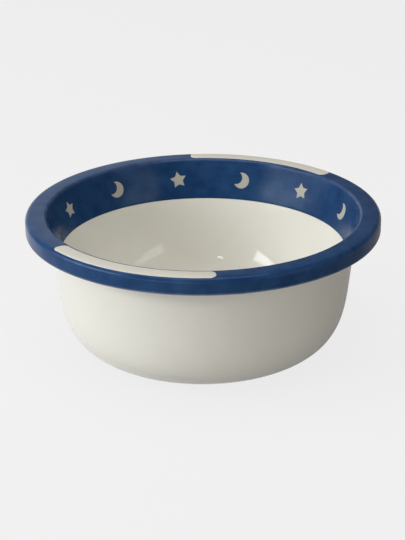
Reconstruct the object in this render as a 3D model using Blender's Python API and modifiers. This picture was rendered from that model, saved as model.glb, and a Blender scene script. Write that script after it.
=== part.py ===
"""Round salad bowl, 240 mm across, with a coloured rim.

An off-white moulded shell carries a blue rim collar. The collar is an upturned
channel: its inner skirt lines the top of the bowl, its web is the top of the rim,
and its outer skirt is the edge that the hand holds. The shell's top edge is a
tongue that seats in the groove between the inner skirt and a rib under the web.
Star and crescent inlays fill windows in the inner skirt, and two bare plaques lie
in pockets in the web.

Metres, +Z up. The origin is the centre of the foot's underside. Azimuths are in
degrees from +Y towards +X, as a clock hand turns seen from above.
"""

from math import acos, atan2, cos, pi, radians, sin, sqrt, tan

import bmesh
import bpy
from mathutils import Matrix, Vector
from mathutils.geometry import interpolate_bezier

# Bowl shell
BOWL_HEIGHT = 0.098
MOUTH_DIAMETER = 0.2122     # inner wall, carried up to the plane of the rim's top
WALL_FLARE = 19.0           # degrees from upright, inner wall beside the rim
FOOT_DIAMETER = 0.0968      # where the body starts to curve up from its foot
FOOT_LAND = 0.005           # width of the flat ring that the bowl stands on
FOOT_RECESS = 0.0015        # height of the underside inside that ring
FLOOR_WALL = 0.0050         # bottom of the bowl
FOOT_REACH = 0.0598         # pull of the outside's curve outwards along the foot
SIDE_REACH = 0.0473         # pull of the outside's curve down from the rim
SIDE_DRAFT = 12.45          # degrees from upright, outside of the body under the rim
FLOOR_REACH = 0.0360        # pull of the inside's curve outwards along the floor
WALL_REACH = 0.0200         # pull of the inside's curve down from the collar
TONGUE_WALL = 0.00175       # top edge of the shell, inside the rim

# Rim collar
RIM_WIDTH = 0.0139          # from the mouth to the outside of the rim
RIM_DEPTH = 0.0119          # height of the rim's outside
RIM_ROUND = 0.0036          # upper outside edge
RIM_EDGE_ROUND = 0.0017     # lower outside edge
LIP_ROUND = 0.0024          # edge between the inner wall and the top
RIM_WALL = 0.0024           # outer skirt
WEB_WALL = 0.0026           # top of the rim
BAND_DEPTH = 0.0273         # lower edge of the inner skirt, below the rim's top
SKIRT_WALL = 0.0010         # inner skirt
RIB_WALL = 0.0015
RIB_DEPTH = 0.0045

# Inlays in the inner skirt, turned anticlockwise as seen from inside the bowl
MOTIF_DROP = 0.0141         # centre of each motif, below the rim's top
MOTIF_AZIMUTHS = (-66.5, -37.7, -10.1, 16.1, 43.8, 71.5)    # star and crescent by turns
MOTIF_SETS = 2              # like sets, evenly round the bowl
STAR_RADIUS = 0.0061        # centre to point
STAR_WAIST = 0.0033         # centre to the corner between two points
STAR_POINTS = 5
STAR_TURNS = (8.0, 8.0, 11.0)
MOON_RADIUS = 0.0058
MOON_BITE_RADIUS = 0.0047   # circle that hollows the crescent
MOON_BITE_OFFSET = 0.0045   # between the centres of the two circles
MOON_TURNS = (-28.0, -23.0, -19.0)

# Plaques in the top of the rim
REAR_PLAQUE_ENDS = (-4.4, 51.2)     # azimuths
FRONT_PLAQUE_ENDS = (176.0, 235.3)
PLAQUE_INSET = 0.0018       # inner edge, from the mouth
PLAQUE_MARGIN = 0.0020      # outer edge, from the outside of the rim
PLAQUE_CORNER = 0.0040
PLAQUE_THICKNESS = 0.0012

# Clearance between seated pieces
FIT = 0.0003

# Facets: steps round a turned piece and along each kind of curve
TURN_STEPS = 72
BODY_STEPS = 14
FILLET_STEPS = 4
MOON_STEPS = 8
PLAQUE_STEPS = 16
FILLET_SHARE = 0.45         # most of an edge that the fillet at one end may take

# Heights and radii that several pieces share
RIM_LOW = BOWL_HEIGHT - RIM_DEPTH
WEB_UNDER = BOWL_HEIGHT - WEB_WALL
BAND_LOW = BOWL_HEIGHT - BAND_DEPTH
MOUTH_RADIUS = MOUTH_DIAMETER / 2
RIM_RADIUS = MOUTH_RADIUS + RIM_WIDTH
FOOT_RADIUS = FOOT_DIAMETER / 2


def inner_wall(z):
    """Radius of the conical inner wall at height z."""
    return MOUTH_RADIUS - (BOWL_HEIGHT - z) * tan(radians(WALL_FLARE))


def skirt_back(z):
    """Radius of the outer face of the collar's inner skirt."""
    return inner_wall(z) + SKIRT_WALL


def tongue_inside(z):
    """Radius of the shell's face behind the inner skirt."""
    return skirt_back(z) + FIT


def tongue_outside(z):
    """Radius of the outer face of the shell's top edge."""
    return tongue_inside(z) + TONGUE_WALL


def leaning(angle, length):
    """Step of a length along a line that leans outwards by an angle from upright."""
    return length * Vector((sin(radians(angle)), cos(radians(angle))))


def rounded(corners):
    """Closed outline through corners (r, z, fillet), with an arc at each fillet."""
    points = []
    for index, (r, z, fillet) in enumerate(corners):
        corner = Vector((r, z))
        if not fillet:
            points.append(corner)
            continue
        before = Vector(corners[index - 1][:2]) - corner
        after = Vector(corners[(index + 1) % len(corners)][:2]) - corner
        half_turn = (pi - before.angle(after)) / 2
        room = FILLET_SHARE * min(before.length, after.length)
        setback = min(fillet * tan(half_turn), room)
        radius = setback / tan(half_turn)
        towards = (before.normalized() + after.normalized()).normalized()
        centre = corner + towards * radius / cos(half_turn)
        first = (corner + setback * before.normalized() - centre).normalized()
        last = (corner + setback * after.normalized() - centre).normalized()
        for step in range(FILLET_STEPS + 1):
            points.append(centre + radius * first.slerp(last, step / FILLET_STEPS))
    return points


def shell_outline():
    """Half section of the shell, from the middle of its floor out, up, over and down."""
    floor = FOOT_RECESS + FLOOR_WALL
    ledge = BAND_LOW - FIT
    tongue_top = WEB_UNDER - FIT
    land_inside = FOOT_RADIUS - FOOT_LAND

    inner_foot = Vector((FOOT_RADIUS, floor))
    inner_top = Vector((inner_wall(ledge), ledge))
    inside = interpolate_bezier(
        inner_foot, inner_foot + Vector((FLOOR_REACH, 0)),
        inner_top - leaning(WALL_FLARE, WALL_REACH), inner_top, BODY_STEPS)

    outer_foot = Vector((FOOT_RADIUS, 0))
    outer_top = Vector((tongue_outside(RIM_LOW), RIM_LOW))
    outside = interpolate_bezier(
        outer_top, outer_top - leaning(SIDE_DRAFT, SIDE_REACH),
        outer_foot + Vector((FOOT_REACH, 0)), outer_foot, BODY_STEPS)

    tongue = [
        Vector((tongue_inside(ledge), ledge)),
        Vector((tongue_inside(tongue_top), tongue_top)),
        Vector((tongue_outside(tongue_top), tongue_top))]
    underside = [
        Vector((land_inside, 0)),
        Vector((land_inside - FOOT_RECESS, FOOT_RECESS)),
        Vector((0, FOOT_RECESS))]
    return [Vector((0, floor))] + inside + tongue + outside + underside


def collar_outline():
    """Section of the rim collar, out over the top, down, and back up to the lip."""
    channel = RIM_RADIUS - RIM_WALL
    rib_inside = tongue_outside(WEB_UNDER) + FIT
    rib_outside = rib_inside + RIB_WALL
    rib_low = WEB_UNDER - RIB_DEPTH
    return rounded([
        (MOUTH_RADIUS, BOWL_HEIGHT, LIP_ROUND),
        (RIM_RADIUS, BOWL_HEIGHT, RIM_ROUND),
        (RIM_RADIUS, RIM_LOW, RIM_EDGE_ROUND),
        (channel, RIM_LOW, 0),
        (channel, WEB_UNDER, max(RIM_ROUND - RIM_WALL, 0)),
        (rib_outside, WEB_UNDER, 0),
        (rib_outside, rib_low, 0),
        (rib_inside, rib_low, 0),
        (rib_inside, WEB_UNDER, 0),
        (skirt_back(WEB_UNDER), WEB_UNDER, 0),
        (skirt_back(BAND_LOW), BAND_LOW, 0),
        (inner_wall(BAND_LOW), BAND_LOW, 0)])


def skirt_outline():
    """Section of the inner skirt alone, which gives the inlays their two faces."""
    return [
        Vector((inner_wall(WEB_UNDER), WEB_UNDER)),
        Vector((skirt_back(WEB_UNDER), WEB_UNDER)),
        Vector((skirt_back(BAND_LOW), BAND_LOW)),
        Vector((inner_wall(BAND_LOW), BAND_LOW))]


def star_outline(grow):
    """Star with one point up, with every side pushed out by grow."""
    half = pi / STAR_POINTS
    side = sqrt(STAR_RADIUS ** 2 + STAR_WAIST ** 2 - 2 * STAR_RADIUS * STAR_WAIST * cos(half))
    centre_to_side = STAR_RADIUS * STAR_WAIST * sin(half) / side
    size = 1 + grow / centre_to_side
    points = []
    for corner in range(2 * STAR_POINTS):
        radius = size * (STAR_WAIST if corner % 2 else STAR_RADIUS)
        angle = pi / 2 + corner * half
        points.append(Vector((radius * cos(angle), radius * sin(angle))))
    return points


def moon_outline(grow):
    """Crescent that opens to the left, with both of its arcs pushed out by grow."""
    outer = MOON_RADIUS + grow
    bite = MOON_BITE_RADIUS - grow
    tip_x = -(outer ** 2 - bite ** 2 + MOON_BITE_OFFSET ** 2) / (2 * MOON_BITE_OFFSET)
    tip = acos(tip_x / outer)
    bite_tip = atan2(outer * sin(tip), tip_x + MOON_BITE_OFFSET)
    points = []
    for step in range(2 * MOON_STEPS + 1):
        angle = -tip + tip * step / MOON_STEPS
        points.append(Vector((outer * cos(angle), outer * sin(angle))))
    for step in range(1, MOON_STEPS):
        angle = bite_tip - 2 * bite_tip * step / MOON_STEPS
        points.append(Vector((bite * cos(angle) - MOON_BITE_OFFSET, bite * sin(angle))))
    return points


def plaque_outline(arc, grow):
    """Bar with rounded corners, bent round the rim at +Y, with every side pushed out."""
    inside = MOUTH_RADIUS + PLAQUE_INSET
    outside = RIM_RADIUS - PLAQUE_MARGIN
    middle = (inside + outside) / 2
    half_length = middle * radians(arc) / 2 + grow
    half_width = (outside - inside) / 2 + grow
    corner = min(PLAQUE_CORNER + grow, 2 * FILLET_SHARE * half_width)
    straight = half_length - corner

    bar = []
    for quarter, (along, across) in enumerate([(1, 1), (-1, 1), (-1, -1), (1, -1)]):
        for step in range(FILLET_STEPS + 1):
            angle = (quarter + step / FILLET_STEPS) * pi / 2
            bar.append(Vector((along * straight + corner * cos(angle),
                               across * (half_width - corner) + corner * sin(angle))))
        if quarter % 2 == 0:
            for step in range(1, PLAQUE_STEPS):
                bar.append(Vector((along * straight * (1 - 2 * step / PLAQUE_STEPS),
                                   across * half_width)))

    def bent(point):
        radius = middle + point.y
        return Vector((radius * sin(point.x / middle), radius * cos(point.x / middle)))

    return [bent(point) for point in bar]


def gloss(name, hex_colour, roughness):
    """Glossy moulded plastic in one sRGB colour."""
    material = bpy.data.materials.new(name)
    material.use_nodes = True
    shader = material.node_tree.nodes["Principled BSDF"]
    channels = [int(hex_colour[at:at + 2], 16) / 255 for at in (1, 3, 5)]
    linear = [c / 12.92 if c <= 0.04045 else ((c + 0.055) / 1.055) ** 2.4 for c in channels]
    shader.inputs["Base Color"].default_value = (*linear, 1)
    shader.inputs["Roughness"].default_value = roughness
    shader.inputs["Metallic"].default_value = 0
    return material


def turned(name, outline, closed):
    """Object with a half section at +X, turned round Z."""
    mesh = bpy.data.meshes.new(name)
    section = bmesh.new()
    corners = [section.verts.new((r, 0, z)) for r, z in outline]
    for first, second in zip(corners, corners[1:] + corners[:1]):
        if closed or first is not corners[-1]:
            section.edges.new((first, second))
    section.to_mesh(mesh)
    section.free()
    piece = bpy.data.objects.new(name, mesh)
    screw = piece.modifiers.new("turn", "SCREW")
    screw.axis = "Z"
    screw.angle = 2 * pi
    screw.steps = TURN_STEPS
    screw.render_steps = TURN_STEPS
    screw.use_merge_vertices = True
    screw.merge_threshold = 1e-6
    screw.use_smooth_shade = True
    return piece


def prism(name, outline, half_height):
    """Object with a flat outline in XY, as thick on both sides of it."""
    curve = bpy.data.curves.new(name, "CURVE")
    curve.dimensions = "2D"
    curve.fill_mode = "BOTH"
    curve.extrude = half_height
    spline = curve.splines.new("POLY")
    spline.points.add(len(outline) - 1)
    for corner, (x, y) in zip(spline.points, outline):
        corner.co = (x, y, 0, 1)
    spline.use_cyclic_u = True
    flat = bpy.data.objects.new(name, curve)
    bpy.context.scene.collection.objects.link(flat)
    bpy.context.view_layer.update()
    evaluated = flat.evaluated_get(bpy.context.evaluated_depsgraph_get())
    mesh = bpy.data.meshes.new_from_object(evaluated)
    bpy.data.objects.remove(flat)
    bpy.data.curves.remove(curve)
    solid = bmesh.new()
    solid.from_mesh(mesh)
    bmesh.ops.remove_doubles(solid, verts=solid.verts, dist=1e-6)
    bmesh.ops.recalc_face_normals(solid, faces=solid.faces)
    solid.to_mesh(mesh)
    solid.free()
    mesh.name = name
    return bpy.data.objects.new(name, mesh)


for stale in list(bpy.data.objects):
    bpy.data.objects.remove(stale)

parts = bpy.data.collections.new("salad_bowl")
cutters = bpy.data.collections.new("cutters")
openings = bpy.data.collections.new("collar_openings")
bpy.context.scene.collection.children.link(parts)
bpy.context.scene.collection.children.link(cutters)
cutters.children.link(openings)
bowl = bpy.data.objects.new("bowl_centre", None)
parts.objects.link(bowl)


def add_part(piece, material):
    """Put a finished piece with the others, with its material."""
    piece.data.materials.append(material)
    piece.parent = bowl
    parts.objects.link(piece)


def add_cutter(piece, collection):
    """Keep a cutting shape out of the finished object."""
    piece.hide_render = True
    piece.display_type = "WIRE"
    collection.objects.link(piece)


off_white = gloss("off_white_gloss_plastic", "#DEDDD2", 0.18)
navy = gloss("navy_gloss_plastic", "#1E3F72", 0.2)
ivory = gloss("ivory_inlay_plastic", "#C9C7B8", 0.3)
plaque_white = gloss("plaque_gloss_plastic", "#DAD8CC", 0.25)

# Bowl shell: body, floor, foot ring and the tongue that carries the collar
add_part(turned("bowl_shell", shell_outline(), closed=False), off_white)

# Rim collar: turned channel with a window for each inlay and a pocket for each plaque
collar = turned("rim_collar", collar_outline(), closed=True)
collar_cuts = collar.modifiers.new("windows and pockets", "BOOLEAN")
collar_cuts.operation = "DIFFERENCE"
collar_cuts.operand_type = "COLLECTION"
collar_cuts.collection = openings
add_part(collar, navy)

# Inlays: alternating stars and crescents, each the piece of skirt that its window lost
skirt_ring = turned("skirt_ring", skirt_outline(), closed=True)
add_cutter(skirt_ring, cutters)
motif_height = BOWL_HEIGHT - MOTIF_DROP
motif_radius = inner_wall(motif_height)
motif_depth = 2 * SKIRT_WALL
motif_kinds = (("star", star_outline, STAR_TURNS), ("moon", moon_outline, MOON_TURNS))
for place in range(MOTIF_SETS * len(MOTIF_AZIMUTHS)):
    kind, outline, turns = motif_kinds[place % 2]
    number = place // 2
    which_set, spot = divmod(place, len(MOTIF_AZIMUTHS))
    azimuth = radians(MOTIF_AZIMUTHS[spot] + which_set * 360 / MOTIF_SETS)
    turn = Matrix.Rotation(radians(turns[number % len(turns)]), 2)
    window = prism(f"{kind}_window_{number + 1}", [turn @ p for p in outline(FIT)], motif_depth)
    inlay = prism(f"{kind}_inlay_{number + 1}", [turn @ p for p in outline(0)], motif_depth)
    for piece in (window, inlay):
        piece.location = (motif_radius * sin(azimuth), motif_radius * cos(azimuth), motif_height)
        piece.rotation_euler = (radians(90 - WALL_FLARE), 0, -azimuth)
    trim = inlay.modifiers.new("trim to the skirt", "BOOLEAN")
    trim.operation = "INTERSECT"
    trim.object = skirt_ring
    add_cutter(window, openings)
    add_part(inlay, ivory)

# Plaques: each in its pocket, with a top that follows the rim and its rounded outer edge
rim_blank = turned("rim_blank", collar_outline(), closed=True)
add_cutter(rim_blank, cutters)
for name, ends in (("rear_plaque", REAR_PLAQUE_ENDS), ("front_plaque", FRONT_PLAQUE_ENDS)):
    arc = ends[1] - ends[0]
    pocket = prism(name.replace("plaque", "pocket"), plaque_outline(arc, FIT), PLAQUE_THICKNESS + FIT)
    plaque = prism(name, plaque_outline(arc, 0), PLAQUE_THICKNESS)
    for piece in (pocket, plaque):
        piece.location.z = BOWL_HEIGHT
        piece.rotation_euler.z = radians(-sum(ends) / 2)
    trim = plaque.modifiers.new("trim to the rim", "BOOLEAN")
    trim.operation = "INTERSECT"
    trim.object = rim_blank
    add_cutter(pocket, openings)
    add_part(plaque, plaque_white)
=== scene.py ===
"""Looks of a round salad bowl: a glossy off-white shell under a navy rim with inlays and plaques.

Metres, +Z up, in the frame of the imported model. Azimuths are degrees from +Y towards +X, as a clock
hand turns seen from above.
"""

from math import atan2, cos, pi, radians, sin, sqrt, tan

import bpy
from mathutils import Euler, Matrix, Vector
from mathutils.geometry import interpolate_bezier


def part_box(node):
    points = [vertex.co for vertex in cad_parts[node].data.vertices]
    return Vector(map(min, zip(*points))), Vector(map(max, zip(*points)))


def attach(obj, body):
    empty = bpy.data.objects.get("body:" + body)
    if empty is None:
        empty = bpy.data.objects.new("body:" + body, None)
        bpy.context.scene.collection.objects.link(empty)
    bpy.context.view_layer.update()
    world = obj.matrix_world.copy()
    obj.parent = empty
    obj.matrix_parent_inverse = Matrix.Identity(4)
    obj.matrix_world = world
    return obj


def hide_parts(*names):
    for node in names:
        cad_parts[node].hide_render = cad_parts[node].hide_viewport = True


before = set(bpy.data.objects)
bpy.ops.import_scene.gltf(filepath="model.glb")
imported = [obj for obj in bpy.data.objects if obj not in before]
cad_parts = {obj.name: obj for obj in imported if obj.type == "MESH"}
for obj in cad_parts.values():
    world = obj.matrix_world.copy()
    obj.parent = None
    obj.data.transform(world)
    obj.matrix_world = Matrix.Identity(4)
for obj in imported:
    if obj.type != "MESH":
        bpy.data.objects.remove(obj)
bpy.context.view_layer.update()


# Bowl shell: body, floor and foot ring, one thick off-white moulding with a glassy skin.
# It is turned from one half section, and its top edge is the tongue that the collar covers.

collar_low, collar_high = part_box("rim_collar")
rim_top = collar_high.z
rim_radius = collar_high.x
band_low = collar_low.z

RIM_WIDTH = 0.0139          # from the mouth to the outside of the rim
RIM_DEPTH = 0.0119          # height of the rim's outside
WALL_FLARE = radians(19)    # inner wall beside the rim, from upright
SIDE_DRAFT = radians(12.45)  # outside of the body under the rim
FOOT_RADIUS = 0.0484
FOOT_LAND = 0.005
FOOT_RECESS = 0.0015
FLOOR_WALL = 0.0050
FOOT_REACH = 0.0598         # pulls of the outside's curve at the foot and under the rim
SIDE_REACH = 0.0473
FLOOR_REACH = 0.0360        # pulls of the inside's curve at the floor and under the collar
WALL_REACH = 0.0200
SKIRT_WALL = 0.0010         # collar's inner skirt, which lies in a ledge of the shell
TONGUE_WALL = 0.00175
SEAT_GAP = 0.00006          # joint line where the collar's skirt meets the shell

TURN_STEPS = 360
CURVE_POINTS = 56
MERGE_DISTANCE = 0.000002
SMOOTH_ANGLE = radians(35)

mouth_radius = rim_radius - RIM_WIDTH
rim_low = rim_top - RIM_DEPTH


def inner_wall(z):
    """Radius of the conical inner wall at a height."""
    return mouth_radius - (rim_top - z) * tan(WALL_FLARE)


def leaning(angle, length):
    """Step of a length along a line that leans outwards from upright."""
    return length * Vector((sin(angle), cos(angle)))


def start_mesh(name):
    """Name the primitive that was just added and open it for editing."""
    piece = bpy.context.object
    piece.name = name
    piece.data.name = name
    bpy.ops.object.mode_set(mode="EDIT")
    bpy.ops.mesh.select_mode(type="VERT")
    return piece


def turn(name, outline):
    """Piece turned round Z: one point is drawn out along the half section, which is then spun."""
    bpy.ops.object.select_all(action="DESELECT")
    bpy.ops.mesh.primitive_circle_add(vertices=3, radius=FOOT_RADIUS)
    piece = start_mesh(name)
    bpy.ops.mesh.merge(type="CENTER")
    bpy.ops.transform.translate(value=(outline[0].x, 0, outline[0].y))
    for here, there in zip(outline, outline[1:]):
        step = (there.x - here.x, 0, there.y - here.y)
        bpy.ops.mesh.extrude_region_move(TRANSFORM_OT_translate={"value": step})
    bpy.ops.mesh.select_all(action="SELECT")
    bpy.ops.mesh.spin(steps=TURN_STEPS, angle=2 * pi, center=(0, 0, 0), axis=(0, 0, 1))
    bpy.ops.mesh.select_all(action="SELECT")
    bpy.ops.mesh.remove_doubles(threshold=MERGE_DISTANCE)
    bpy.ops.mesh.normals_make_consistent(inside=False)
    bpy.ops.object.mode_set(mode="OBJECT")
    bpy.ops.object.shade_smooth_by_angle(angle=SMOOTH_ANGLE)
    return piece


def shell_outline():
    """Half section of the shell, from the middle of its floor out, up, over and down."""
    floor = FOOT_RECESS + FLOOR_WALL
    ledge = band_low - SEAT_GAP
    tongue_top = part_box("bowl_shell")[1].z
    tongue_inside = SKIRT_WALL + SEAT_GAP
    tongue_outside = tongue_inside + TONGUE_WALL

    inner_foot = Vector((FOOT_RADIUS, floor))
    inner_top = Vector((inner_wall(ledge), ledge))
    inside = interpolate_bezier(
        inner_foot, inner_foot + Vector((FLOOR_REACH, 0)),
        inner_top - leaning(WALL_FLARE, WALL_REACH), inner_top, CURVE_POINTS)
    outer_foot = Vector((FOOT_RADIUS, 0))
    outer_top = Vector((inner_wall(rim_low) + tongue_outside, rim_low))
    outside = interpolate_bezier(
        outer_top, outer_top - leaning(SIDE_DRAFT, SIDE_REACH),
        outer_foot + Vector((FOOT_REACH, 0)), outer_foot, CURVE_POINTS)
    tongue = [
        Vector((inner_wall(ledge) + tongue_inside, ledge)),
        Vector((inner_wall(tongue_top) + tongue_inside, tongue_top)),
        Vector((inner_wall(tongue_top) + tongue_outside, tongue_top))]
    land_inside = FOOT_RADIUS - FOOT_LAND
    underside = [
        Vector((land_inside, 0)),
        Vector((land_inside - FOOT_RECESS, FOOT_RECESS)),
        Vector((0, FOOT_RECESS))]
    return [Vector((0, floor))] + inside + tongue + outside + underside


def linear(hex_colour):
    """Linear colour of an sRGB hex value."""
    channels = [int(hex_colour[at:at + 2], 16) / 255 for at in (1, 3, 5)]
    return [c / 12.92 if c <= 0.04045 else ((c + 0.055) / 1.055) ** 2.4 for c in channels] + [1]


def add_node(tree, kind, inputs, **settings):
    """Add a shader node with its settings, and give each input a value or another node's output."""
    node = tree.nodes.new("ShaderNode" + kind)
    for name, value in settings.items():
        setattr(node, name, value)
    for name, value in inputs.items():
        if isinstance(value, bpy.types.NodeSocket):
            tree.links.new(value, node.inputs[name])
        else:
            node.inputs[name].default_value = value
    return node


def start_material(name):
    """New material, with its node tree, its shader and the place on the piece for patterns."""
    material = bpy.data.materials.new(name)
    material.use_nodes = True
    tree = material.node_tree
    place = add_node(tree, "TexCoord", {}).outputs["Object"]
    return material, tree, tree.nodes["Principled BSDF"], place


def moulded_melamine():
    """Compression-moulded melamine: solid colour, clouded a little, under a hard glassy skin.

    The index of refraction is lower than a real plastic's, here and on the other pieces, which
    holds back the reflection of the pale floor.
    """
    material, tree, shader, place = start_material("moulded_off_white_melamine")
    cloud_size = 0.022
    clouds = add_node(tree, "TexNoise", {"Vector": place, "Scale": 1 / cloud_size, "Detail": 3})
    tint = add_node(tree, "MixRGB", {
        "Fac": clouds.outputs["Fac"], "Color1": linear("#E2E1D8"), "Color2": linear("#DFDED3")})
    tree.links.new(tint.outputs["Color"], shader.inputs["Base Color"])
    ripple_size = 0.016
    ripple_height = 0.00002
    ripples = add_node(tree, "TexNoise", {"Vector": place, "Scale": 1 / ripple_size, "Detail": 1})
    skin = add_node(tree, "Bump", {
        "Height": ripples.outputs["Fac"], "Distance": ripple_height, "Strength": 1})
    tree.links.new(skin.outputs["Normal"], shader.inputs["Normal"])
    shader.inputs["Roughness"].default_value = 0.04
    shader.inputs["IOR"].default_value = 1.33
    return material


shell = turn("shell", shell_outline())
shell.data.materials.append(moulded_melamine())
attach(shell, "root")
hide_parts("bowl_shell")


# Rim collar: a navy channel moulding that is pressed down over the shell's tongue and bonded.
# It is turned like the shell, then windows for the inlays and pockets for the plaques are cut.

RIM_ROUND = 0.0036          # upper outside edge
RIM_EDGE_ROUND = 0.0017     # lower outside edge
LIP_ROUND = 0.0024          # edge between the inner wall and the top
SKIRT_EDGE_ROUND = 0.0002
RIM_WALL = 0.0024
WEB_WALL = 0.0026           # top of the channel
RIB_WALL = 0.0015
RIB_DEPTH = 0.0045
RIB_FIT = 0.0003            # room between the tongue and the rib
FILLET_STEPS = 10
INLAY_GAP = 0.00004         # joint line round each inlay and plaque
WALL_HOLLOW = 0.0003        # by which the band is dished between its edges
HOLLOW_STEPS = 16
MOTIF_HOLLOW = 0.92         # share of that hollow at the motifs' height

MOTIF_DROP = 0.0141         # centre of each motif, below the rim's top
MOTIF_AZIMUTHS = (-66.5, -37.7, -10.1, 16.1, 43.8, 71.5)    # star and crescent by turns
MOTIF_SETS = 2              # like sets, evenly round the bowl
STAR_POINTS = 5
STAR_RADIUS = 0.0061        # centre to point
STAR_WAIST = 0.0033         # centre to the corner between two points
STAR_TURNS = (8, 8, 11)     # degrees, anticlockwise as seen from inside the bowl
MOON_RADIUS = 0.0058
MOON_BITE_RADIUS = 0.0047   # circle that hollows the crescent
MOON_BITE_OFFSET = 0.0045   # between the centres of the two circles
MOON_TURNS = (-28, -23, -19)
MOON_STEPS = 96

PLAQUE_ENDS = {"rear": (-4.4, 51.2), "front": (176.0, 235.3)}   # azimuths
PLAQUE_INSET = 0.0018       # inner edge, from the mouth
PLAQUE_MARGIN = 0.0020      # outer edge, from the outside of the rim
PLAQUE_CORNER = 0.0040
PLAQUE_THICKNESS = 0.0012
PLAQUE_EDGE = 0.00015       # round on the upper edge
PLAQUE_EDGE_STEPS = 3
STRIP_WIDTH = 0.001         # of a flat block that is bent to the rim
WRAP_STRIPS = 6             # strips along the plaque where it bends over the rim's rounded edge


def rounded(corners):
    """Outline through corners (r, z, fillet), with an arc at each corner that has a fillet."""
    points = []
    for index, (r, z, fillet) in enumerate(corners):
        corner = Vector((r, z))
        if not fillet:
            points.append(corner)
            continue
        before = Vector(corners[index - 1][:2]) - corner
        after = Vector(corners[(index + 1) % len(corners)][:2]) - corner
        half_turn = (pi - before.angle(after)) / 2
        setback = fillet * tan(half_turn)
        inward = (before.normalized() + after.normalized()).normalized()
        centre = corner + inward * fillet / cos(half_turn)
        first = (corner + setback * before.normalized() - centre).normalized()
        last = (corner + setback * after.normalized() - centre).normalized()
        for step in range(FILLET_STEPS + 1):
            points.append(centre + fillet * first.slerp(last, step / FILLET_STEPS))
    return points


def collar_outline():
    """Section of the collar, out over the top, down, and back up to the lip."""
    channel = rim_radius - RIM_WALL
    web_under = rim_top - WEB_WALL
    tongue_outside = SKIRT_WALL + SEAT_GAP + TONGUE_WALL
    rib_inside = inner_wall(web_under) + tongue_outside + RIB_FIT
    rib_outside = rib_inside + RIB_WALL
    rib_low = web_under - RIB_DEPTH
    section = rounded([
        (mouth_radius, rim_top, LIP_ROUND),
        (rim_radius, rim_top, RIM_ROUND),
        (rim_radius, rim_low, RIM_EDGE_ROUND),
        (channel, rim_low, SKIRT_EDGE_ROUND),
        (channel, web_under, RIM_ROUND - RIM_WALL),
        (rib_outside, web_under, 0),
        (rib_outside, rib_low, SKIRT_EDGE_ROUND),
        (rib_inside, rib_low, SKIRT_EDGE_ROUND),
        (rib_inside, web_under, 0),
        (inner_wall(web_under) + SKIRT_WALL, web_under, 0),
        (inner_wall(band_low) + SKIRT_WALL, band_low, SKIRT_EDGE_ROUND),
        (inner_wall(band_low), band_low, SKIRT_EDGE_ROUND)])
    wall = []
    for step in range(1, HOLLOW_STEPS):
        along = step / HOLLOW_STEPS
        dish = 4 * WALL_HOLLOW * along * (1 - along)
        wall.append(section[-1].lerp(section[0], along) + Vector((dish, 0)))
    return section + wall + section[:1]


def apply_boolean(piece, operation, cutter):
    """Cut a piece with another, which is then thrown away."""
    cut = piece.modifiers.new(operation.lower(), "BOOLEAN")
    cut.operation = operation
    cut.object = cutter
    bpy.ops.object.select_all(action="DESELECT")
    bpy.context.view_layer.objects.active = piece
    bpy.ops.object.modifier_apply(modifier=cut.name)
    bpy.data.objects.remove(cutter)


def disc(name, vertices, radius, centre, thickness):
    """Flat round block with its top at zero height."""
    bpy.ops.object.select_all(action="DESELECT")
    bpy.ops.mesh.primitive_cylinder_add(
        vertices=vertices, radius=radius, depth=thickness, location=(*centre, -thickness / 2))
    piece = start_mesh(name)
    bpy.ops.object.mode_set(mode="OBJECT")
    bpy.ops.object.transform_apply(location=True, rotation=True, scale=True)
    return piece


def deselect_mesh(piece):
    """Leave nothing selected in a piece's mesh."""
    for part in [*piece.data.vertices, *piece.data.edges, *piece.data.polygons]:
        part.select = False


def star_block(name, grow, thickness):
    """Star with one point up: a ten-sided block with every other edge drawn in to the waist."""
    half = pi / STAR_POINTS
    side = sqrt(STAR_RADIUS ** 2 + STAR_WAIST ** 2 - 2 * STAR_RADIUS * STAR_WAIST * cos(half))
    centre_to_side = STAR_RADIUS * STAR_WAIST * sin(half) / side
    size = 1 + grow / centre_to_side
    piece = disc(name, 2 * STAR_POINTS, size * STAR_RADIUS, (0, 0), thickness)
    between_points = [v for v in piece.data.vertices if round(atan2(v.co.x, v.co.y) / half) % 2]
    deselect_mesh(piece)
    for corner in between_points:
        corner.select = True
    bpy.ops.object.mode_set(mode="EDIT")
    draw_in = STAR_WAIST / STAR_RADIUS
    bpy.ops.transform.resize(value=(draw_in, draw_in, 1), center_override=(0, 0, 0))
    bpy.ops.object.mode_set(mode="OBJECT")
    return piece


def moon_block(name, grow, thickness):
    """Crescent that opens to the left: a round block hollowed by another that passes through it."""
    piece = disc(name, MOON_STEPS, MOON_RADIUS + grow, (0, 0), thickness)
    bite = disc("bite", MOON_STEPS, MOON_BITE_RADIUS - grow, (-MOON_BITE_OFFSET, 0), 3 * thickness)
    bite.data.transform(Matrix.Translation((0, 0, thickness)))
    apply_boolean(piece, "DIFFERENCE", bite)
    return piece


def select_only(piece):
    """Make a piece the one selected object."""
    bpy.ops.object.select_all(action="DESELECT")
    piece.select_set(True)
    bpy.context.view_layer.objects.active = piece


def settle(piece):
    """Put a piece's place and turn into its mesh."""
    select_only(piece)
    bpy.ops.object.transform_apply(location=True, rotation=True, scale=True)


def motif_place(index):
    """Frame of a motif on the inner wall: X along the rim, Y up the wall, Z into the bowl."""
    which_set, which_motif = divmod(index, len(MOTIF_AZIMUTHS))
    azimuth = radians(MOTIF_AZIMUTHS[which_motif] + which_set * 360 / MOTIF_SETS)
    height = rim_top - MOTIF_DROP
    radius = inner_wall(height) + MOTIF_HOLLOW * WALL_HOLLOW
    spot = Vector((radius * sin(azimuth), radius * cos(azimuth), height))
    return Matrix.LocRotScale(spot, Euler((pi / 2 - WALL_FLARE, 0, -azimuth)), None)


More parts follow.
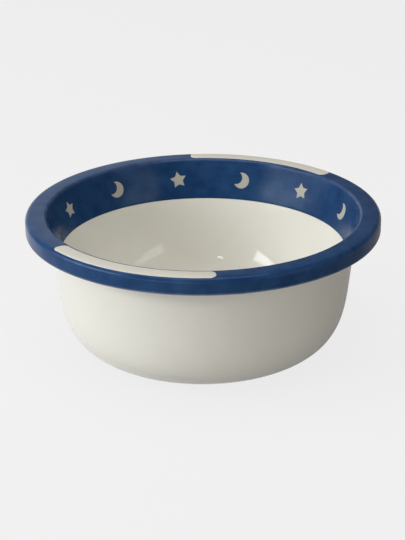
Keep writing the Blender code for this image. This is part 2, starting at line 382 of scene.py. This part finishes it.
def motif_block(name, index, grow, thickness):
    """The star or crescent at one place of the ring, turned as it sits there."""
    make_block, turns = ((star_block, STAR_TURNS), (moon_block, MOON_TURNS))[index % 2]
    piece = make_block(name, grow, thickness)
    piece.rotation_euler.z = radians(turns[index // 2 % len(turns)])
    settle(piece)
    return piece


def select_edges(piece, wanted):
    """Leave only the edges of a piece that pass a test of their two ends selected."""
    deselect_mesh(piece)
    for edge in piece.data.edges:
        edge.select = wanted(*(piece.data.vertices[end].co for end in edge.vertices))
    select_only(piece)
    bpy.context.tool_settings.mesh_select_mode = (False, True, False)
    bpy.ops.object.mode_set(mode="EDIT")


def slice_across(reach):
    """Cut the mesh being edited into strips across X, so that it can be bent."""
    strips = int(reach / STRIP_WIDTH)
    for strip in range(-strips, strips + 1):
        bpy.ops.mesh.select_all(action="SELECT")
        bpy.ops.mesh.bisect(plane_co=(strip * STRIP_WIDTH, 0, 0), plane_no=(1, 0, 0))


def plaque_block(name, ends, grow, thickness, top):
    """Bar with rounded corners, sliced and bent round the rim and over its rounded outer edge.

    A bar that is grown is the cutter of a pocket, and its upper edge stays sharp.
    """
    inside = mouth_radius + PLAQUE_INSET
    outside = rim_radius - PLAQUE_MARGIN
    middle = (inside + outside) / 2
    flat_end = rim_radius - RIM_ROUND
    length = middle * radians(ends[1] - ends[0]) + 2 * grow
    width = outside - inside + 2 * grow
    bpy.ops.object.select_all(action="DESELECT")
    bpy.ops.mesh.primitive_cube_add(size=1, location=(0, 0, -thickness / 2))
    piece = start_mesh(name)
    bpy.ops.transform.resize(value=(length, width, thickness), center_override=(0, 0, -thickness / 2))
    bpy.ops.object.mode_set(mode="OBJECT")
    settle(piece)
    select_edges(piece, lambda a, b: abs(a.z - b.z) > thickness / 2)
    bpy.ops.mesh.bevel(offset=PLAQUE_CORNER + grow, segments=FILLET_STEPS)
    bpy.ops.object.mode_set(mode="OBJECT")
    if not grow:
        select_edges(piece, lambda a, b: min(a.z, b.z) > -thickness / 2)
        bpy.ops.mesh.bevel(offset=PLAQUE_EDGE, segments=PLAQUE_EDGE_STEPS)
        bpy.ops.object.mode_set(mode="OBJECT")
    bpy.ops.object.mode_set(mode="EDIT")
    slice_across(length / 2)
    for strip in range(WRAP_STRIPS):
        across = flat_end - middle + strip * (outside - flat_end) / WRAP_STRIPS
        bpy.ops.mesh.select_all(action="SELECT")
        bpy.ops.mesh.bisect(plane_co=(0, across, 0), plane_no=(0, 1, 0))
    bpy.ops.object.mode_set(mode="OBJECT")
    for point in piece.data.vertices:
        angle = radians(sum(ends) / 2) + point.co.x / middle
        radius = middle + point.co.y
        over = max(radius - flat_end, 0)
        height = top + point.co.z - RIM_ROUND + sqrt(RIM_ROUND ** 2 - over ** 2)
        point.co = (radius * sin(angle), radius * cos(angle), height)
    return piece


collar = turn("collar", collar_outline())
openings = []
motif_count = MOTIF_SETS * len(MOTIF_AZIMUTHS)
window_depth = 4 * SKIRT_WALL
for index in range(motif_count):
    window = motif_block("window", index, INLAY_GAP, window_depth)
    window.data.transform(motif_place(index) @ Matrix.Translation((0, 0, window_depth / 2)))
    openings.append(window)
pocket_floor = rim_top - PLAQUE_THICKNESS - INLAY_GAP
cutter_height = 2 * PLAQUE_THICKNESS
for ends in PLAQUE_ENDS.values():
    openings.append(plaque_block("pocket", ends, INLAY_GAP, cutter_height, pocket_floor + cutter_height))
for opening in openings:
    opening.select_set(True)
bpy.ops.object.join()
apply_boolean(collar, "DIFFERENCE", bpy.context.object)
select_only(collar)
bpy.ops.object.shade_smooth_by_angle(angle=SMOOTH_ANGLE)


def clouded_navy():
    """Navy lacquer brushed on round the rim: clouded, with faint streaks along the brush's way.

    The coat is not quite level, which bends the edges of every reflection in its gloss. It thins
    out at the rim's lower edge and a little at the lip, where a paler ground shows through. These
    pale lines are partly painted highlight: they also stand in for the highlights along those edges.
    """
    material, tree, shader, place = start_material("brushed_navy_lacquer")
    cloud_size = 0.011
    clouds = add_node(tree, "TexNoise", {"Vector": place, "Scale": 1 / cloud_size, "Detail": 4})
    streak_length = 0.030
    streak_width = 0.0014
    streak_share = 0.35
    darkest, palest = 0.45, 0.95    # sums of the two noises at the ends of the colour range
    axes = add_node(tree, "SeparateXYZ", {"Vector": place})
    flat_place = add_node(tree, "CombineXYZ", {"X": axes.outputs["X"], "Y": axes.outputs["Y"]})
    flat_place = flat_place.outputs["Vector"]
    radius = add_node(tree, "VectorMath", {"Vector": flat_place}, operation="LENGTH")
    around = add_node(tree, "VectorMath", {"Vector": flat_place}, operation="NORMALIZE")
    turned_place = add_node(tree, "VectorMath", {
        0: around.outputs["Vector"], "Scale": rim_radius / streak_length}, operation="SCALE")
    depth = add_node(tree, "Math", {
        0: axes.outputs["Z"], 1: radius.outputs["Value"]}, operation="SUBTRACT")
    depth = add_node(tree, "Math", {0: depth.outputs[0], 1: streak_width}, operation="DIVIDE")
    streaks = add_node(tree, "TexNoise", {
        "Vector": turned_place.outputs["Vector"], "W": depth.outputs[0], "Scale": 1, "Detail": 2},
        noise_dimensions="4D")
    tone = add_node(tree, "Math", {
        0: streaks.outputs["Fac"], 1: streak_share, 2: clouds.outputs["Fac"]}, operation="MULTIPLY_ADD")
    spread = add_node(tree, "MapRange", {
        "Value": tone.outputs[0], "From Min": darkest, "From Max": palest})
    tint = add_node(tree, "MixRGB", {
        "Fac": spread.outputs["Result"], "Color1": linear("#0F3159"), "Color2": linear("#21436D")})
    section_place = add_node(tree, "CombineXYZ", {"X": radius.outputs["Value"], "Y": axes.outputs["Z"]})
    # distances from an edge at which the coat is thinnest and whole, and the share it loses there;
    # the pale line there is partly a painted highlight
    lower_edge = {"corner": (rim_radius, rim_low, 0), "thin": 0.0007, "whole": 0.0020, "share": 0.5}
    lip = {"corner": (mouth_radius, rim_top, 0), "thin": 0.0008, "whole": 0.0018, "share": 0.08}
    for edge in (lower_edge, lip):
        away = add_node(tree, "VectorMath", {
            0: section_place.outputs["Vector"], 1: edge["corner"]}, operation="DISTANCE")
        thin_coat_and_painted_highlight = add_node(tree, "MapRange", {
            "Value": away.outputs["Value"], "From Min": edge["thin"], "From Max": edge["whole"],
            "To Min": edge["share"], "To Max": 0})
        thin_coat_and_painted_highlight = add_node(tree, "Math", {
            0: thin_coat_and_painted_highlight.outputs["Result"], 1: clouds.outputs["Fac"]}, operation="MULTIPLY")
        # pale colour along the edge: a thinner coat, and partly a painted highlight
        tint = add_node(tree, "MixRGB", {
            "Fac": thin_coat_and_painted_highlight.outputs[0], "Color1": tint.outputs["Color"], "Color2": linear("#C0C2D0")})
    tree.links.new(tint.outputs["Color"], shader.inputs["Base Color"])
    wave_size = 0.013
    wave_height = 0.0003
    waves = add_node(tree, "TexNoise", {"Vector": place, "Scale": 1 / wave_size, "Detail": 0})
    level = add_node(tree, "Bump", {
        "Height": waves.outputs["Fac"], "Distance": wave_height, "Strength": 1})
    tree.links.new(level.outputs["Normal"], shader.inputs["Normal"])
    shader.inputs["Roughness"].default_value = 0.23
    shader.inputs["IOR"].default_value = 1.27
    shader.inputs["Specular Tint"].default_value = linear("#EAF5FF")
    return material


collar.data.materials.append(clouded_navy())
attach(collar, "root")
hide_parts("rim_collar")


# Inlays: stars and crescents of ivory plastic that fill the windows of the collar's inner skirt.
# Each is a small block, bent to the conical wall and bonded in flush.

INLAY_EDGE = 0.00006        # round on the front edge
INLAY_EDGE_STEPS = 2
INLAY_THICKNESS = 0.00065
INLAY_SMOOTH_ANGLE = radians(20)


def ivory_plastic():
    """Moulded ivory plastic, a little greyer than the shell."""
    material, tree, shader, place = start_material("moulded_ivory_plastic")
    speck_size = 0.003
    specks = add_node(tree, "TexNoise", {"Vector": place, "Scale": 1 / speck_size, "Detail": 2})
    tint = add_node(tree, "MixRGB", {
        "Fac": specks.outputs["Fac"], "Color1": linear("#AEACA2"), "Color2": linear("#A6A49A")})
    tree.links.new(tint.outputs["Color"], shader.inputs["Base Color"])
    shader.inputs["Roughness"].default_value = 0.2
    shader.inputs["IOR"].default_value = 1.22
    return material


ivory = ivory_plastic()
for index in range(motif_count):
    kind = ("star", "moon")[index % 2]
    number = index // 2 + 1
    inlay = motif_block(f"{kind}_{number}", index, 0, INLAY_THICKNESS)
    select_edges(inlay, lambda a, b: min(a.z, b.z) > -INLAY_THICKNESS / 2)
    bpy.ops.mesh.bevel(offset=INLAY_EDGE, segments=INLAY_EDGE_STEPS)
    slice_across(STAR_RADIUS)
    bpy.ops.object.mode_set(mode="OBJECT")
    wall_radius = inner_wall(rim_top - MOTIF_DROP)
    for point in inlay.data.vertices:
        around = wall_radius + point.co.y * sin(WALL_FLARE)
        point.co.z += point.co.x ** 2 * cos(WALL_FLARE) / (2 * around)
    inlay.data.transform(motif_place(index))
    bpy.ops.object.shade_smooth_by_angle(angle=INLAY_SMOOTH_ANGLE)
    inlay.data.materials.append(ivory)
    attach(inlay, "root")
    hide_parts(f"{kind}_inlay_{number}")


# Plaques: two pale arc-shaped bars that lie flush in pockets in the top of the rim.
# They are moulded like the shell, and bonded in.


def plaque_plastic():
    """Moulded off-white plastic with a soft gloss."""
    material, tree, shader, place = start_material("moulded_plaque_plastic")
    cloud_size = 0.006
    clouds = add_node(tree, "TexNoise", {"Vector": place, "Scale": 1 / cloud_size, "Detail": 2})
    tint = add_node(tree, "MixRGB", {
        "Fac": clouds.outputs["Fac"], "Color1": linear("#CCCABF"), "Color2": linear("#C4C2B6")})
    tree.links.new(tint.outputs["Color"], shader.inputs["Base Color"])
    shader.inputs["Roughness"].default_value = 0.15
    shader.inputs["IOR"].default_value = 1.25
    return material


plaque_finish = plaque_plastic()
for name, ends in PLAQUE_ENDS.items():
    plaque = plaque_block(f"{name}_plate", ends, 0, PLAQUE_THICKNESS, rim_top)
    select_only(plaque)
    bpy.ops.object.shade_smooth_by_angle(angle=SMOOTH_ANGLE)
    plaque.data.materials.append(plaque_finish)
    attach(plaque, "root")
    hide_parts(f"{name}_plaque")


# Floor: pale paper that the camera and the gloss see almost evenly lit, apart from the bowl's
# shadow. The light that it throws back on the bowl is that of plain grey paper.

FLOOR_SIZE = 12
EVEN_SHARE = 0.85           # of the floor's look; the rest is lit paper, which takes the shadow


def matt_grey(name):
    """Matt grey paper, which throws some light back up and has no gloss."""
    material, tree, shader, place = start_material(name)
    shader.inputs["Base Color"].default_value = linear("#B0B0B0")
    shader.inputs["Roughness"].default_value = 0.9
    shader.inputs["Specular IOR Level"].default_value = 0
    return material, tree, shader, place


bpy.ops.object.select_all(action="DESELECT")
bpy.ops.mesh.primitive_plane_add(size=FLOOR_SIZE)
floor = bpy.context.object
floor.name = "floor"
paper, tree, shader, _ = matt_grey("pale_floor_paper")
light_path = add_node(tree, "LightPath", {})
seen = add_node(tree, "Math", {
    0: light_path.outputs["Is Camera Ray"], 1: light_path.outputs["Is Glossy Ray"]}, operation="MAXIMUM")
seen = add_node(tree, "Math", {
    0: seen.outputs[0], 1: light_path.outputs["Is Transmission Ray"]}, operation="MAXIMUM")
even = add_node(tree, "Math", {0: seen.outputs[0], 1: EVEN_SHARE}, operation="MULTIPLY")
glow = add_node(tree, "Emission", {"Color": linear("#F9F9F9"), "Strength": 1})
mixed = add_node(tree, "MixShader", {
    "Fac": even.outputs[0], 1: shader.outputs["BSDF"], 2: glow.outputs["Emission"]})
tree.links.new(mixed.outputs["Shader"], tree.nodes["Material Output"].inputs["Surface"])
floor.data.materials.append(paper)


# Grey card: it lies to the bowl's right and fades out under it, out of the camera's sight as the
# lamps are. The gloss on that side shows the card in place of the bright floor, and stays dark.

CARD_WIDTH = 0.86
CARD_LENGTH = 1.2
CARD_CENTRE = Vector((0.37, 0.1, 0.0006))
CARD_FADE = 0.22            # width of the soft edge towards the bowl

bpy.ops.object.select_all(action="DESELECT")
bpy.ops.mesh.primitive_plane_add(size=1)
card = bpy.context.object
card.name = "grey_card"
card.data.transform(Matrix.Translation(CARD_CENTRE) @ Matrix.Diagonal((CARD_WIDTH, CARD_LENGTH, 1, 1)))
card_paper, tree, shader, place = matt_grey("grey_card_paper")
card_edge = CARD_CENTRE.x - CARD_WIDTH / 2
axes = add_node(tree, "SeparateXYZ", {"Vector": place})
sheer = add_node(tree, "MapRange", {
    "Value": axes.outputs["X"], "From Min": card_edge, "From Max": card_edge + CARD_FADE,
    "To Min": 1, "To Max": 0})
underside = add_node(tree, "NewGeometry", {}).outputs["Backfacing"]
see_through = add_node(tree, "Math", {0: sheer.outputs["Result"], 1: underside}, operation="MAXIMUM")
clear = add_node(tree, "BsdfTransparent", {})
mixed = add_node(tree, "MixShader", {
    "Fac": see_through.outputs[0], 1: shader.outputs["BSDF"], 2: clear.outputs["BSDF"]})
tree.links.new(mixed.outputs["Shader"], tree.nodes["Material Output"].inputs["Surface"])
card.data.materials.append(card_paper)
card.visible_camera = False
card.visible_shadow = False     # the floor under it stays lit


# Lamps and camera: most of the light is large and soft, from the left and from above. The strips
# and the small lamp near the camera show as bright shapes in the gloss. The camera stands where
# a fit to the photograph's outlines puts it.

COOL_LIGHT = (0.94, 0.965, 1.0)


def softbox(name, azimuth, elevation, distance, size, radiance, colour, roll=0):
    """Rectangular lamp that faces the bowl, with the radiance of its front. Angles are in degrees."""
    aim = Vector((0, 0, rim_top / 2))
    towards = Vector((sin(radians(azimuth)) * cos(radians(elevation)),
                      cos(radians(azimuth)) * cos(radians(elevation)),
                      sin(radians(elevation))))
    width, height = size
    lamp = bpy.data.lights.new(name, "AREA")
    lamp.shape = "RECTANGLE"
    lamp.size = width
    lamp.size_y = height
    lamp.energy = radiance * pi * width * height
    lamp.color = colour
    stand = bpy.data.objects.new(name, lamp)
    stand.matrix_world = (Matrix.Translation(aim + distance * towards)
                          @ towards.to_track_quat("Z", "Y").to_matrix().to_4x4()
                          @ Matrix.Rotation(radians(roll), 4, "Z"))
    stand.visible_camera = False
    bpy.context.scene.collection.objects.link(stand)


softbox("key_softbox", azimuth=-98, elevation=20, distance=1.7, size=(1.75, 1.2),
        radiance=1.75, colour=COOL_LIGHT)
softbox("left_strip", azimuth=-107.7, elevation=23.4, distance=1.53, size=(0.98, 0.26),
        radiance=11.3, colour=COOL_LIGHT, roll=5.5)
softbox("right_strip", azimuth=123.5, elevation=21.7, distance=1.51, size=(0.88, 0.19),
        radiance=3.5, colour=(1, 0.97, 0.93))
softbox("overhead_panel", azimuth=-135, elevation=80, distance=1.5, size=(1.4, 1.4),
        radiance=2.45, colour=(1, 0.965, 0.955))
softbox("back_panel", azimuth=-24, elevation=18.5, distance=1.6, size=(1.3, 1.05),
        radiance=0.5, colour=(0.86, 0.94, 1.0))
softbox("front_fill", azimuth=-157, elevation=4, distance=1.2, size=(1.0, 0.22),
        radiance=4.0, colour=(1, 0.98, 0.96))
softbox("camera_lamp", azimuth=-162.3, elevation=33.6, distance=1.3, size=(0.13, 0.05),
        radiance=18, colour=(1, 1, 1))

world = bpy.data.worlds.new("studio")
bpy.context.scene.world = world
world.use_nodes = True
sky = world.node_tree.nodes["Background"]
sky.inputs["Color"].default_value = (1, 0.95, 0.88, 1)
sky.inputs["Strength"].default_value = 0.2

LENS = 118.357
VIEW_DOWN = radians(22.572)
VIEW_ROLL = radians(-0.447)
VIEW_FROM = Vector((-0.000658, -1.123678, 0.521084))
camera_data = bpy.data.cameras.new("camera")
camera_data.lens = LENS
camera = bpy.data.objects.new("camera", camera_data)
camera.matrix_world = (Matrix.Translation(VIEW_FROM)
                       @ Matrix.Rotation(pi / 2 - VIEW_DOWN, 4, "X") @ Matrix.Rotation(VIEW_ROLL, 4, "Z"))
bpy.context.scene.collection.objects.link(camera)
bpy.context.scene.camera = camera
bpy.context.scene.view_settings.view_transform = "Standard"
